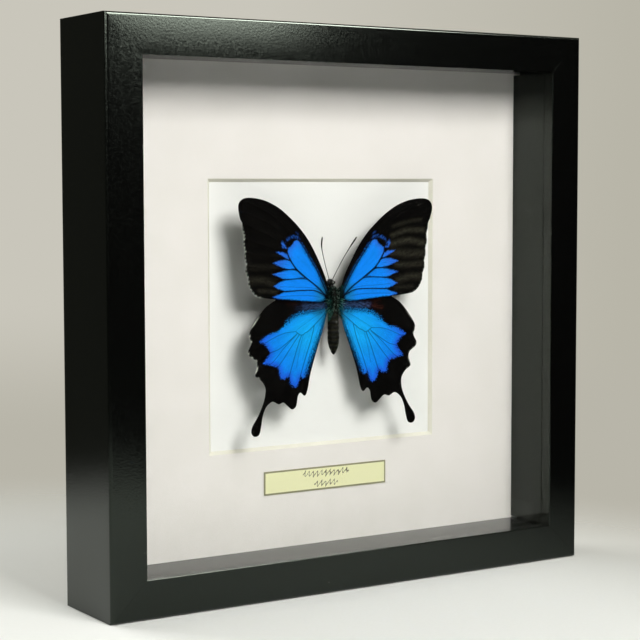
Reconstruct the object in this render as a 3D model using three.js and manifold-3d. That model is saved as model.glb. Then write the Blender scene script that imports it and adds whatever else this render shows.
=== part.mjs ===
// Framed butterfly: a swallowtail specimen behind glass in a deep, square box frame.
// Millimetres, +Z up. The frame stands on the origin, at the middle of its underside,
// and its front faces -Y. "Depth" is counted backwards from the front face.
import * as THREE from 'three';
import { mergeVertices } from 'three/addons/utils/BufferGeometryUtils.js';
import Module from 'manifold-3d';

const wasm = await Module();
wasm.setup();

// ---- driving dimensions ----

const frame = {
  side: 250,
  depth: 43,
  face: 16.8, // width of the mouldings seen from the front
  wall: 11.5, // thickness of the mouldings behind the lip
  lip: 6, // thickness of the lip that the glass rests against
  arris: 0.6, // eased long edges at the front
  mitreGap: 0.1, // each moulding stops this short of the mitre line
};
const kerf = { depth: 38.5, width: 0.8, reach: 2.5 }; // slot that the metal points sit in
const pane = { thickness: 2 };
const layerGap = 0.1; // air between two sheets in the stack
const sheetSlack = 0.5; // each sheet is this much smaller than the rebate on every side
const stack = { glass: 6.1, spacer: 8.2, mat: 31.3, card: 32.9, board: 36 }; // depth of front faces
const mat = { thickness: 1.5, window: 122, windowX: -0.5, windowZ: 122.1 };
const card = { thickness: 3 };
const board = { thickness: 2.5 };
const label = { width: 66.6, height: 10.7, thickness: 0.3, x: -0.3, z: 45.9 };
const point = { length: 14, width: 7, thickness: 0.4, tip: 4, spread: 62 }; // metal points
const hanger = { width: 42, height: 9, thickness: 1, teeth: 11, toothHeight: 1.6, z: 212 };
const specimen = { x: -2, z: 125, depth: 22.8 }; // middle of the wing bases, on the body's axis
const wing = { thickness: 0.5, hindThickness: 0.4, rise: 1.3, overlapGap: 0.3, slope: 0.075 };
const pin = { radius: 0.3, clearance: 0.3, start: 23.8, end: 35.5, aboveBases: 3, sides: 10 };

const frontY = -frame.depth / 2;
const rebate = frame.side / 2 - frame.wall - sheetSlack; // half the width of the sheets

// ---- finishes ----

function finish(color, roughness, metalness = 0) {
  return new THREE.MeshStandardMaterial({ color, roughness, metalness });
}

const blackWrap = finish(0x1a1a18, 0.45);
const clearGlass = finish(0xe8efec, 0.05);
const matBoard = finish(0xece8e2, 0.9);
const foamCard = finish(0xeef1ec, 0.9);
const creamPaper = finish(0xe4e2b2, 0.85);
const hardboard = finish(0x6b4a2f, 0.8);
const zincPlate = finish(0x9a9c9c, 0.4, 0.9);
const blueWing = finish(0x1578f5, 0.45);
const darkFur = finish(0x16170f, 0.8);
const pinSteel = finish(0x9b9ea0, 0.3, 1);

// ---- helpers ----

const part = new THREE.Group();
const weldDistance = 0.0001;

function add(name, geometry, material, parent = part) {
  const mesh = new THREE.Mesh(geometry, material);
  mesh.name = name;
  parent.add(mesh);
  return mesh;
}

function toSolid(geometry) {
  const bare = geometry.clone();
  bare.deleteAttribute('normal');
  bare.deleteAttribute('uv');
  const welded = mergeVertices(bare, weldDistance);
  return new wasm.Manifold(new wasm.Mesh({
    numProp: 3,
    vertProperties: new Float32Array(welded.attributes.position.array),
    triVerts: new Uint32Array(welded.index.array),
  }));
}

function toGeometry(solid) {
  const mesh = solid.getMesh();
  const geometry = new THREE.BufferGeometry();
  geometry.setAttribute('position', new THREE.BufferAttribute(mesh.vertProperties, 3));
  geometry.setIndex(new THREE.BufferAttribute(mesh.triVerts, 1));
  geometry.computeVertexNormals();
  return geometry;
}

function sheet(width, height, thickness, x, z, depth) {
  const geometry = new THREE.BoxGeometry(width, thickness, height);
  geometry.translate(x, frontY + depth + thickness / 2, z);
  return geometry;
}

function outline(points) {
  return new THREE.Shape(points.map(([x, y]) => new THREE.Vector2(x, y)));
}

// A mirrored shape is inside out, so two corners of each of its triangles change places.
function turnFacesOver(geometry) {
  const corners = geometry.attributes.position.count;
  const order = Array.from({ length: corners }, (_, i) => i);
  for (let i = 0; i < corners; i += 3) [order[i], order[i + 1]] = [order[i + 1], order[i]];
  geometry.setIndex(order);
  return geometry;
}

// Stands up a flat extrusion that is drawn in X and Y, so that its thickness runs along +Y.
function upright(geometry) {
  geometry.rotateX(Math.PI / 2);
  geometry.scale(1, -1, 1);
  return turnFacesOver(geometry);
}

// ---- box frame: one moulding, mitred and turned to the four sides ----

function moulding() {
  const { side, depth, face, wall, lip, arris, mitreGap } = frame;
  const section = outline([
    [0, arris], [arris, 0], [face - arris, 0], [face, arris], [face, lip], [wall, lip],
    [wall, kerf.depth], [wall - kerf.reach, kerf.depth],
    [wall - kerf.reach, kerf.depth + kerf.width], [wall, kerf.depth + kerf.width],
    [wall, depth], [0, depth],
  ]);
  // The end faces of a short extrusion are moved out to the two mitres.
  const shortLength = 2;
  const geometry = new THREE.ExtrudeGeometry(section, { depth: shortLength, bevelEnabled: false });
  const position = geometry.attributes.position;
  for (let i = 0; i < position.count; i++) {
    const inset = position.getX(i);
    const along = position.getZ(i) > shortLength / 2 ? 1 : -1;
    const depthFromFront = position.getY(i);
    const end = side / 2 - inset - mitreGap;
    position.setXYZ(i, along * end, frontY + depthFromFront, inset - side / 2);
  }
  return turnFacesOver(geometry);
}

const sides = [['bottom', 0], ['right', -1], ['top', 2], ['left', 1]];
for (const [name, quarterTurns] of sides) {
  const turned = new THREE.Group();
  turned.position.set(0, 0, frame.side / 2);
  turned.rotation.y = quarterTurns * Math.PI / 2;
  part.add(turned);
  add(`rail_${name}`, moulding(), blackWrap, turned);

  // Two metal points a side reach out of the slot and over the back board.
  for (const end of [-1, 1]) {
    const plan = outline([
      [-point.width / 2, 0], [point.width / 2, 0],
      [point.width / 2, point.length - point.tip], [0, point.length],
      [-point.width / 2, point.length - point.tip],
    ]);
    const plate = new THREE.ExtrudeGeometry(plan, { depth: point.thickness, bevelEnabled: false });
    upright(plate);
    const foot = frame.wall - kerf.reach + point.thickness - frame.side / 2;
    const face = kerf.depth + (kerf.width - point.thickness) / 2;
    plate.translate(end * point.spread, frontY + face, foot);
    add(`point_${name}_${end < 0 ? 1 : 2}`, plate, zincPlate, turned);
  }
}

// ---- glass, spacers, mat and backing ----

const middle = frame.side / 2;
const sheetSide = 2 * rebate;
add('glass', sheet(sheetSide, sheetSide, pane.thickness, 0, middle, stack.glass), clearGlass);

const spacerDepth = stack.mat - layerGap - stack.spacer;
const spacerWidth = frame.face - frame.wall - sheetSlack;
const spacerCentre = middle - frame.face + spacerWidth / 2;
const sideSpacer = 2 * (middle - frame.face) - 2 * layerGap;
for (const [name, sign] of [['bottom', -1], ['top', 1]]) {
  const strip = sheet(sheetSide, spacerWidth, spacerDepth, 0, middle + sign * spacerCentre, stack.spacer);
  add(`spacer_${name}`, strip, blackWrap);
}
for (const [name, sign] of [['left', -1], ['right', 1]]) {
  const strip = sheet(spacerWidth, sideSpacer, spacerDepth, sign * spacerCentre, middle, stack.spacer);
  add(`spacer_${name}`, strip, blackWrap);
}

function square(half) {
  return [[-half, -half], [half, -half], [half, half], [-half, half]];
}

// The window's edge is cut at 45 degrees, so the opening narrows towards the back.
function matSheet() {
  const half = mat.window / 2;
  const sheetShape = outline(square(rebate));
  const windowPoints = square(half).map(([x, y]) => {
    return new THREE.Vector2(x + mat.windowX, y + mat.windowZ - middle);
  });
  sheetShape.holes.push(new THREE.Path(windowPoints));
  const geometry = new THREE.ExtrudeGeometry(sheetShape, { depth: mat.thickness, bevelEnabled: false });
  const position = geometry.attributes.position;
  const narrowed = (half - mat.thickness) / half;
  for (let i = 0; i < position.count; i++) {
    const x = position.getX(i) - mat.windowX;
    const y = position.getY(i) - mat.windowZ + middle;
    const onWindow = Math.abs(x) < half + 1 && Math.abs(y) < half + 1;
    if (onWindow && position.getZ(i) > mat.thickness / 2) {
      position.setXY(i, x * narrowed + mat.windowX, y * narrowed + mat.windowZ - middle);
    }
  }
  upright(geometry);
  geometry.translate(0, frontY + stack.mat, middle);
  return geometry;
}

add('mat', matSheet(), matBoard);

const labelDepth = stack.mat - layerGap - label.thickness;
const labelCard = sheet(label.width, label.height, label.thickness, label.x, label.z, labelDepth);
add('label', labelCard, creamPaper);

const cardShape = outline(square(rebate));
const pinHole = new THREE.Path();
const pinZ = specimen.z + pin.aboveBases;
const holeRadius = pin.radius + pin.clearance;
pinHole.absarc(specimen.x, pinZ - middle, holeRadius, 0, 2 * Math.PI, true);
cardShape.holes.push(pinHole);
const cardSheet = new THREE.ExtrudeGeometry(cardShape, {
  depth: card.thickness, curveSegments: 8, bevelEnabled: false,
});
upright(cardSheet);
cardSheet.translate(0, frontY + stack.card, middle);
add('backing_card', cardSheet, foamCard);

add('back_board', sheet(sheetSide, sheetSide, board.thickness, 0, middle, stack.board), hardboard);

// Sawtooth hanger, flat on the back board.
function sawtoothHanger() {
  const { width, height, thickness, teeth, toothHeight } = hanger;
  const points = [[width / 2, 0], [width / 2, height], [-width / 2, height], [-width / 2, 0]];
  const start = -width / 4;
  const pitch = width / 2 / teeth;
  for (let tooth = 0; tooth < teeth; tooth++) {
    points.push([start + tooth * pitch, 0], [start + (tooth + 0.5) * pitch, toothHeight]);
  }
  points.push([start + teeth * pitch, 0]);
  const plate = new THREE.ExtrudeGeometry(outline(points), { depth: thickness, bevelEnabled: false });
  upright(plate);
  plate.translate(0, frontY + stack.board + board.thickness + layerGap, hanger.z);
  return plate;
}

add('hanger', sawtoothHanger(), zincPlate);

// ---- wings: thin plates, drawn for the right-hand side in X and Z from the wing bases ----

const forewing = {
  root: [3, 8],
  costa: [[5.2, 14.4], [8.5, 21], [12.4, 27.7], [17.3, 34.1], [23.5, 40], [30.6, 45.2],
    [37.8, 48.4], [44.6, 49.7], [49.2, 49.5]],
  apex: [[51.7, 47.8], [52.3, 45], [51.3, 40.6]],
  margin: [[50.1, 36], [49.7, 30], [49.1, 24], [48.6, 18]],
  tornus: [[47.4, 12.4], [45.6, 9], [42.6, 6.5], [38, 5.6]],
  inner: [[25, 4], [14, 3.1], [6, 2.8], [3, 3.9]],
  waves: 5, // shallow scallops along the margin
  swell: 0.25,
};

const hindwing = [
  [3.2, 0.2], [3.2, 3.2], [8, 7.4], [16, 9.4], [24, 8.8], [32, 4.2], [36.6, 1.4], [40.4, -2.6],
  [43.9, -7.4], [45, -10.4], [44, -13.9], [45.6, -17.4], [44.9, -19.4], [41.6, -21.8],
  [41, -24.4], [42, -28.2], [39.2, -30.4], [36.9, -33.6], [36.8, -37.2], [38, -41.4], [40.6, -46.4],
  [43.4, -50.4], [44.1, -53.3], [42.6, -55.2], [40.2, -54.6], [39, -51], [38.3, -47],
  [36.7, -43.1], [34.6, -41.1], [32.6, -40.5], [29.8, -41.8], [27.2, -41.3], [24.6, -43.3],
  [22.5, -44.7], [20.4, -43.2], [19.5, -38.9], [18, -37.5], [15.9, -39], [14.4, -36.8],
  [12.4, -28.4], [9.3, -19.3], [6.1, -10.8], [3.9, -3.6],
];

function forewingOutline() {
  const { root, costa, apex, margin, tornus, inner, waves, swell } = forewing;
  const front = new THREE.SplineCurve([root, ...costa, ...apex].map(toVector));
  const scalloped = new THREE.SplineCurve([apex[2], ...margin, tornus[0]].map(toVector));
  const back = new THREE.SplineCurve([...tornus, ...inner].map(toVector));
  const edge = scalloped.getPoints(4 * waves).map((p, i) => {
    return new THREE.Vector2(p.x - swell * (1 - Math.cos(Math.PI * i / 2)), p.y);
  });
  return [...front.getPoints(40), ...edge.slice(1, -1), ...back.getPoints(24)];
}

function hindwingOutline() {
  const curve = new THREE.SplineCurve([...hindwing, hindwing[0]].map(toVector));
  return curve.getPoints(3 * hindwing.length).slice(0, -1);
}

function toVector([x, y]) {
  return new THREE.Vector2(x, y);
}

// No two wings are spread quite alike: "across" scales an outline sideways, "swing" moves it
// further out towards the tail, and "turn" tips the whole wing.
const spread = {
  forewing_left: { across: 1, swing: 0, turn: 0 },
  forewing_right: { across: 0.98, swing: 0, turn: 0.9 },
  hindwing_left: { across: 1.03, swing: 0, turn: 0 },
  hindwing_right: { across: 0.96, swing: 0.0005, turn: 0 },
};

// Each wing leans forward from its base, and the left one is the mirror image of the right one.
function addWing(name, points, thickness, frontOfBase) {
  const { across, swing, turn } = spread[name];
  const side = name.endsWith('left') ? -1 : 1;
  const shape = new THREE.Shape(points.map((p) => {
    return new THREE.Vector2(side * p.x * (across - swing * p.y), p.y);
  }));
  const plate = new THREE.ExtrudeGeometry(shape, { depth: thickness, bevelEnabled: false });
  upright(plate);
  plate.rotateY(side * THREE.MathUtils.degToRad(turn));
  const hinge = new THREE.Group();
  hinge.position.set(specimen.x, frontY + specimen.depth - frontOfBase, specimen.z);
  hinge.rotation.z = -side * Math.atan(wing.slope);
  part.add(hinge);
  add(name, plate, blueWing, hinge);
}

for (const side of ['left', 'right']) {
  addWing(`forewing_${side}`, forewingOutline(), wing.thickness, wing.rise + wing.thickness);
  addWing(`hindwing_${side}`, hindwingOutline(), wing.hindThickness, wing.rise - wing.overlapGap);
}

// ---- body: abdomen, thorax, head, eyes, feelers and folded legs, grown as one ----

const body = {
  thorax: { centre: [0, 0, 3.3], radii: [2.9, 2.8, 6.1] },
  neck: { centre: [-0.3, 0.6, 9.2], radii: [1.3, 1.3, 1.2] },
  head: { centre: [-0.6, 1, 11], radii: [1.75, 1.6, 1.7] },
  eye: { aside: 1.35, up: 0.2, forward: 0.3, radius: 0.95 },
  abdomen: { rings: 8, start: [0.6, 0.4, 1], end: [1.1, 0.8, -21.8] },
  abdomenRadii: [1.9, 2.2, 2.3, 2.3, 2.35, 2.35, 2.3, 1.9, 1.1],
};

function ball({ centre, radii }, around = 20, up = 14) {
  const geometry = new THREE.SphereGeometry(1, around, up);
  geometry.rotateX(Math.PI / 2);
  geometry.scale(...radii);
  geometry.translate(...centre);
  return geometry;
}

// A tube of even thickness along a smooth path through a few points.
function tube(points, radius, steps) {
  const path = new THREE.CatmullRomCurve3(points.map((p) => new THREE.Vector3(...p)));
  const section = new THREE.Shape();
  section.absarc(0, 0, radius, 0, 2 * Math.PI, false);
  return new THREE.ExtrudeGeometry(section, {
    steps, curveSegments: 4, bevelEnabled: false, extrudePath: path,
  });
}

// The abdomen is a stack of rings, each a little pinched where it meets the next.
function abdomen() {
  const { rings, start, end } = body.abdomen;
  const from = new THREE.Vector3(...start);
  const to = new THREE.Vector3(...end);
  const length = from.distanceTo(to);
  const stepsPerRing = 3;
  const pinch = 0.06;
  const lastRing = 0.97; // share of the length that the rings take; the rest is the blunt tip
  const profile = [new THREE.Vector2(0, 0)];
  for (let i = 0; i <= rings * stepsPerRing; i++) {
    const ring = i / stepsPerRing;
    const low = Math.min(Math.floor(ring), rings - 1);
    const even = THREE.MathUtils.lerp(body.abdomenRadii[low], body.abdomenRadii[low + 1], ring - low);
    const radius = even * (i % stepsPerRing ? 1 : 1 - pinch);
    profile.push(new THREE.Vector2(radius, -lastRing * length * ring / rings));
  }
  profile.push(new THREE.Vector2(0, -length));
  const geometry = new THREE.LatheGeometry(profile.reverse(), 18);
  const down = to.clone().sub(from).normalize();
  geometry.applyQuaternion(new THREE.Quaternion().setFromUnitVectors(new THREE.Vector3(0, -1, 0), down));
  geometry.translate(...start);
  return geometry;
}

const feeler = {
  radius: 0.22,
  club: [0.34, 0.34, 1.3],
  left: [[-1, 0.6, 11.5], [-2.6, 0.1, 15.6], [-4.8, -0.8, 21], [-6.7, -1.5, 27.4], [-6.7, -2, 32]],
  right: [[-0.2, 0.6, 11.5], [1.8, 0.1, 15.4], [5.3, -0.8, 22], [9.2, -1.6, 28], [11.8, -2, 31.6]],
};
const leg = {
  radius: 0.28,
  heights: [6.6, 3.6, 0.6],
  bends: [[0.8, 1.4, 0], [2.6, 3.4, -0.4], [3.8, 4.4, -2], [2.4, 5, -4.4]],
};

function bodySolid() {
  const { thorax, neck, head, eye } = body;
  const pieces = [ball(thorax, 24, 18), ball(neck, 12, 8), ball(head), abdomen()];
  for (const side of [-1, 1]) {
    const [x, y, z] = head.centre;
    const centre = [x + side * eye.aside, y - eye.forward, z + eye.up];
    pieces.push(ball({ centre, radii: [eye.radius, eye.radius, eye.radius] }, 12, 8));
    for (const height of leg.heights) {
      const folded = leg.bends.map(([aside, back, rise]) => [side * aside, back, height + rise]);
      pieces.push(tube(folded, leg.radius, 9));
    }
  }
  for (const route of [feeler.left, feeler.right]) {
    pieces.push(tube(route, feeler.radius, 14));
    pieces.push(ball({ centre: route[route.length - 1], radii: feeler.club }, 8, 6));
  }
  const solid = pieces.map(toSolid).reduce((whole, piece) => whole.add(piece));
  const pocketDepth = body.thorax.radii[1];
  const pocket = new THREE.CylinderGeometry(holeRadius, holeRadius, pocketDepth, pin.sides);
  const pocketStart = pin.start - pin.clearance - specimen.depth;
  pocket.translate(0, pocketStart + pocketDepth / 2, pin.aboveBases);
  return toGeometry(solid.subtract(toSolid(pocket)));
}

const trunk = bodySolid();
trunk.translate(specimen.x, frontY + specimen.depth, specimen.z);
add('body', trunk, darkFur);

// A headless pin runs from the underside of the thorax into the backing card.
const pinLength = pin.end - pin.start;
const pinRod = new THREE.CylinderGeometry(pin.radius, pin.radius, pinLength, pin.sides);
pinRod.translate(specimen.x, frontY + pin.start + pinLength / 2, pinZ);
add('pin', pinRod, pinSteel);

export default part;
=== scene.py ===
import math
from functools import partial

import bpy
import numpy as np
from mathutils import Matrix, Vector
from mathutils.geometry import delaunay_2d_cdt


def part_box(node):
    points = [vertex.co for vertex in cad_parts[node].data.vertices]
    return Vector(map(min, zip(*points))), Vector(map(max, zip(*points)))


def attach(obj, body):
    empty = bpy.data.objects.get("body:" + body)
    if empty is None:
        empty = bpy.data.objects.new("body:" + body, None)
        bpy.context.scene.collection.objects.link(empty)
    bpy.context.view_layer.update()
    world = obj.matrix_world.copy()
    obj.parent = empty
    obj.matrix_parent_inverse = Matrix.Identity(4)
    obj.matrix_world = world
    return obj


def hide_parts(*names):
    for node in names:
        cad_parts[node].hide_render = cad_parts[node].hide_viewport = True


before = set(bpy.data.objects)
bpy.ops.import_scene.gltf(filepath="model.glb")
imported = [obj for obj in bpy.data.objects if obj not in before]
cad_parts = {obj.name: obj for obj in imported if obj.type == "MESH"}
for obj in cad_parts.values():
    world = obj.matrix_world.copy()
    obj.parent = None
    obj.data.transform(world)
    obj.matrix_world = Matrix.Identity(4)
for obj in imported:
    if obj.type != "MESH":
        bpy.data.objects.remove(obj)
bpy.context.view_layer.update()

mm = 0.001
frontY = -21.5  # the frame's front face, in millimetres
chance = np.random.default_rng(12)


# small tools

def activate(piece):
    if bpy.context.object and bpy.context.object.mode != "OBJECT":
        bpy.ops.object.mode_set(mode="OBJECT")
    bpy.ops.object.select_all(action="DESELECT")
    piece.select_set(True)
    bpy.context.view_layer.objects.active = piece


def settle(piece):
    # puts a piece's place, turn and scale into its mesh
    activate(piece)
    bpy.ops.object.transform_apply(location=True, rotation=True, scale=True)


def pick(piece, kind, wanted):
    # goes into edit mode with only the wanted corners, edges or faces selected
    activate(piece)
    bpy.ops.object.mode_set(mode="EDIT")
    bpy.ops.mesh.select_mode(type=kind)
    bpy.ops.mesh.select_all(action="DESELECT")
    bpy.ops.object.mode_set(mode="OBJECT")
    mesh = piece.data
    items = {"VERT": mesh.vertices, "EDGE": mesh.edges, "FACE": mesh.polygons}[kind]
    for item in items:
        if kind == "VERT":
            item.select = wanted([item.co / mm])
        elif kind == "EDGE":
            item.select = wanted([mesh.vertices[i].co / mm for i in item.vertices])
        else:
            item.select = wanted(item.center / mm, item.normal)
    bpy.ops.object.mode_set(mode="EDIT")


def leaveEdit():
    bpy.ops.object.mode_set(mode="OBJECT")


def addModifier(piece, kind, settings):
    activate(piece)
    modifier = piece.modifiers.new(kind.lower(), kind)
    for key, value in settings.items():
        setattr(modifier, key, value)
    bpy.ops.object.modifier_apply(modifier=modifier.name)


def smoothFlats(piece, angle):
    # rounds the shading of small bevels only, and leaves the large faces flat
    activate(piece)
    bpy.ops.object.shade_smooth_by_angle(angle=math.radians(angle))
    addModifier(piece, "WEIGHTED_NORMAL", {"weight": 100, "keep_sharp": True})


def softenEdges(piece, width, segments=2, angle=30):
    addModifier(piece, "BEVEL", {
        "width": width * mm, "segments": segments, "limit_method": "ANGLE",
        "angle_limit": math.radians(angle),
    })
    smoothFlats(piece, 35)


def addBlock(name, low, high):
    # a box between two corners, in metres
    low, high = Vector(low), Vector(high)
    bpy.ops.mesh.primitive_cube_add(size=1, location=(low + high) / 2, scale=high - low)
    piece = bpy.context.object
    piece.name = name
    settle(piece)
    return piece


def addShape(name, corners, faces, edges=()):
    # a mesh from corners in millimetres
    mesh = bpy.data.meshes.new(name)
    mesh.from_pydata([Vector(c) * mm for c in corners], edges,
                     [list(map(int, f)) for f in faces])
    piece = bpy.data.objects.new(name, mesh)
    bpy.context.scene.collection.objects.link(piece)
    return piece


def copyOf(source, name):
    piece = source.copy()
    piece.data = source.data.copy()
    piece.name = name
    bpy.context.scene.collection.objects.link(piece)
    return piece


def joinPieces(name, pieces):
    activate(pieces[0])
    for piece in pieces[1:]:
        piece.select_set(True)
    bpy.ops.object.join()
    joined = bpy.context.object
    joined.name = name
    return joined


def closeUp(piece):
    # merges doubled corners and points every face outwards
    pick(piece, "VERT", lambda place: True)
    bpy.ops.mesh.remove_doubles(threshold=0.002 * mm)
    bpy.ops.mesh.normals_make_consistent(inside=False)
    leaveEdit()


def addMark(piece, name, values, kind="FLOAT"):
    # a number, or three, for each corner, which a material reads by this name
    mark = piece.data.attributes.new(name, kind, "POINT")
    mark.data.foreach_set("value" if kind == "FLOAT" else "vector",
                          np.asarray(values, np.float32).ravel())


def dress(piece, material, slot, *nodes):
    # gives a finished piece its finish and ties it to the frame
    piece.data.materials.clear()
    piece.data.materials.append(material)
    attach(piece, "root")
    if nodes:
        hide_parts(*nodes)


def toLinear(hexColour):
    # sRGB hex, such as "#1a2b3c", to linear RGBA
    channels = [int(hexColour[i:i + 2], 16) / 255 for i in (1, 3, 5)]
    return [c / 12.92 if c <= 0.04045 else ((c + 0.055) / 1.055) ** 2.4 for c in channels] + [1]


def connect(node, links):
    # a link comes from a socket, or from a node, which then gives its first live output
    for key, source in links.items():
        if isinstance(source, bpy.types.Node):
            source = next(output for output in source.outputs if output.enabled)
        node.id_data.links.new(source, node.inputs[key])


def addNode(tree, kind, settings=None, links=None):
    # settings are the node's own or its sockets' values, with colours as sRGB hex
    node = tree.nodes.new("ShaderNode" + kind)
    for key, value in (settings or {}).items():
        if isinstance(value, str) and value.startswith("#"):
            value = toLinear(value)
        if isinstance(key, str) and hasattr(node, key):
            setattr(node, key, value)
        else:
            node.inputs[key].default_value = value
    connect(node, links or {})
    return node


def startMaterial(name, settings):
    # a new material, the tool that adds nodes to it, and its shader
    material = bpy.data.materials.new(name)
    material.use_nodes = True
    material.node_tree.nodes.clear()
    add = partial(addNode, material.node_tree)
    shader = add("BsdfPrincipled", settings)
    add("OutputMaterial", links={"Surface": shader})
    return material, add, shader


def showInstead(material, surface):
    # puts another shader in the place of the material's own
    connect(material.node_tree.nodes["Material Output"], {"Surface": surface})


# finishes of the frame and what is behind its glass

def satinFoilWrap():
    # black foil wrapped round fibreboard: even satin gloss with a fine orange-peel grain, drawn
    # coarser than the real one so that it shows, and a few specks of dust
    wrap = {"black": "#040404", "dust": "#6a6c66", "sheen": "#e9faea", "ior": 1.45,
            "roughness": 0.13, "grainMm": 0.85, "grainDepthMm": 0.019, "glossPerMetre": 1100,
            "specksPerMetre": 110, "speckShare": 0.07, "speckSize": 0.035}
    material, add, shader = startMaterial("satinFoilWrap", {
        "IOR": wrap["ior"], "Specular Tint": wrap["sheen"]})
    place = add("TexCoord").outputs["Object"]
    grain = add("TexNoise", {"Scale": 1 / (wrap["grainMm"] * mm), "Detail": 3}, {"Vector": place})
    uneven = add("TexNoise", {"Scale": wrap["glossPerMetre"], "Detail": 3}, {"Vector": place})
    gloss = add("MapRange", {
        "From Min": 0.35, "From Max": 0.65, "To Min": wrap["roughness"] - 0.03,
        "To Max": wrap["roughness"] + 0.04}, {"Value": uneven})
    specks = add("TexVoronoi", {"Scale": wrap["specksPerMetre"]}, {"Vector": place})
    size = add("SeparateColor", links={0: specks.outputs["Color"]})
    limit = add("MapRange", {"From Min": 1 - wrap["speckShare"], "To Max": wrap["speckSize"]},
                {"Value": size})
    dust = add("Math", {"operation": "LESS_THAN"}, {0: specks.outputs["Distance"], 1: limit})
    colour = add("Mix", {"data_type": "RGBA", 6: wrap["black"], 7: wrap["dust"]}, {0: dust})
    bump = add("Bump", {"Strength": 1, "Distance": wrap["grainDepthMm"] * mm}, {"Height": grain})
    connect(shader, {"Base Color": colour, "Roughness": gloss, "Normal": bump})
    return material


def pressedFibre(name, dark, pale, gloss, fine, cloud, darkTo, bump):
    # pressed fibre: a fine tooth and a faint cloudiness keep it from looking flat
    material, add, shader = startMaterial(name, gloss)
    place = add("TexCoord").outputs["Object"]
    tooth = add("TexNoise", fine, {"Vector": place})
    clouds = add("TexNoise", cloud, {"Vector": place})
    both = add("Math", {"operation": "MULTIPLY"}, {0: tooth, 1: clouds})
    blend = add("MapRange", {"From Min": darkTo, "From Max": 0.45}, {"Value": both})
    colour = add("Mix", {"data_type": "RGBA", 6: dark, 7: pale}, {0: blend})
    raised = add("Bump", bump, {"Height": tooth})
    connect(shader, {"Base Color": colour, "Normal": raised})
    return material


def uncoatedBoard(name, dark, pale, toothMm, bumpMm):
    # uncoated mat board and card: quite matt
    return pressedFibre(
        name, dark, pale, {"Roughness": 0.92, "Specular IOR Level": 0.25},
        {"Scale": 1 / (toothMm * mm), "Detail": 4}, {"Scale": 55, "Detail": 5, "Roughness": 0.6},
        0.1, {"Strength": 0.35, "Distance": bumpMm * mm})


def creamLabelPaper():
    # cream laid paper with an olive ruled border and two slanting flourishes in brown ink
    printed = {
        "paper": "#f1efc4", "shade": "#e6e4b5", "rule": "#8f8c6a", "ink": "#3f3a28",
        "ruleMm": 0.75, "slant": -0.5,
        # each row's height, half its length, the width of a stroke pair and how far it swings
        "rows": [(2.3, 12.6, 2.3, 1.3), (-2.5, 6.4, 2.3, 1.1)],
    }
    low, high = (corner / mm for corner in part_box("label"))
    middle, half = (low + high) / 2, (high - low) / 2
    material, add, shader = startMaterial("creamLabelPaper", {
        "Roughness": 0.85, "Specular IOR Level": 0.25})
    place = add("TexCoord").outputs["Object"]
    onLabel = add("Mapping", {"Location": (-middle.x, 0, -middle.z), "Scale": [1 / mm] * 3},
                  {"Vector": place})
    split = add("SeparateXYZ", links={0: onLabel})
    across, up = split.outputs["X"], split.outputs["Z"]
    fibre = add("TexNoise", {"Scale": 2.2, "Detail": 4}, {"Vector": onLabel})
    marks = {"rule": [], "ink": []}
    for axis, reach in ((across, half.x), (up, half.z)):
        far = add("Math", {"operation": "ABSOLUTE"}, {0: axis})
        marks["rule"].append(add("Math", {
            "operation": "GREATER_THAN", 1: reach - printed["ruleMm"]}, {0: far}))
    far = add("Math", {"operation": "ABSOLUTE"}, {0: across})
    slanted = add("Math", {"operation": "MULTIPLY_ADD", 1: printed["slant"]}, {0: up, 2: across})
    # strokes of uneven height, as a pen makes them
    swell = add("TexNoise", {"Scale": 0.55, "Detail": 1}, {"Vector": onLabel})
    uneven = add("MapRange", {
        "From Min": 0.35, "From Max": 0.65, "To Min": 0.35, "To Max": 1.25}, {"Value": swell})
    for height, reach, wave, swing in printed["rows"]:
        fade = add("MapRange", {
            "From Min": reach, "From Max": reach - 1.3, "To Min": 0.2, "To Max": swing},
            {"Value": far})
        angle = add("Math", {"operation": "MULTIPLY", 1: 2 * math.pi / wave}, {0: slanted})
        sine = add("Math", {"operation": "SINE"}, {0: angle})
        stroke = add("Math", {"operation": "MULTIPLY"}, {0: fade, 1: uneven})
        level = add("Math", {"operation": "MULTIPLY_ADD", 2: height}, {0: sine, 1: stroke})
        gap = add("Math", {"operation": "SUBTRACT"}, {0: up, 1: level})
        size = add("Math", {"operation": "ABSOLUTE"}, {0: gap})
        line = add("MapRange", {
            "From Min": 0.2, "From Max": 0.6, "To Min": 0.9, "To Max": 0}, {"Value": size})
        inside = add("Math", {"operation": "LESS_THAN", 1: reach}, {0: far})
        marks["ink"].append(add("Math", {"operation": "MULTIPLY"}, {0: line, 1: inside}))
    colour = add("Mix", {"data_type": "RGBA", 6: printed["shade"], 7: printed["paper"]},
                 {0: fibre})
    for key, (first, second) in marks.items():
        either = add("Math", {"operation": "MAXIMUM"}, {0: first, 1: second})
        colour = add("Mix", {"data_type": "RGBA", 7: printed[key]}, {0: either, 6: colour})
    bump = add("Bump", {"Strength": 0.3, "Distance": 0.03 * mm}, {"Height": fibre})
    connect(shader, {"Base Color": colour, "Normal": bump})
    return material


def clearPictureGlass():
    # clear picture glass with a coating that takes away most reflections; it lets the lamps
    # through so that what is behind it is lit cleanly
    material, add, shader = startMaterial("clearPictureGlass", {
        "Base Color": "#feffff", "Roughness": 0, "IOR": 1.52, "Transmission Weight": 1,
        "Specular Tint": "#606060"})
    path = add("LightPath")
    clear = add("BsdfTransparent", {"Color": "#fbfcfc"})
    lit = add("Math", {"operation": "MAXIMUM"},
              {0: path.outputs["Is Shadow Ray"], 1: path.outputs["Is Diffuse Ray"]})
    showInstead(material, add("MixShader", links={0: lit, 1: shader, 2: clear}))
    return material


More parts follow.
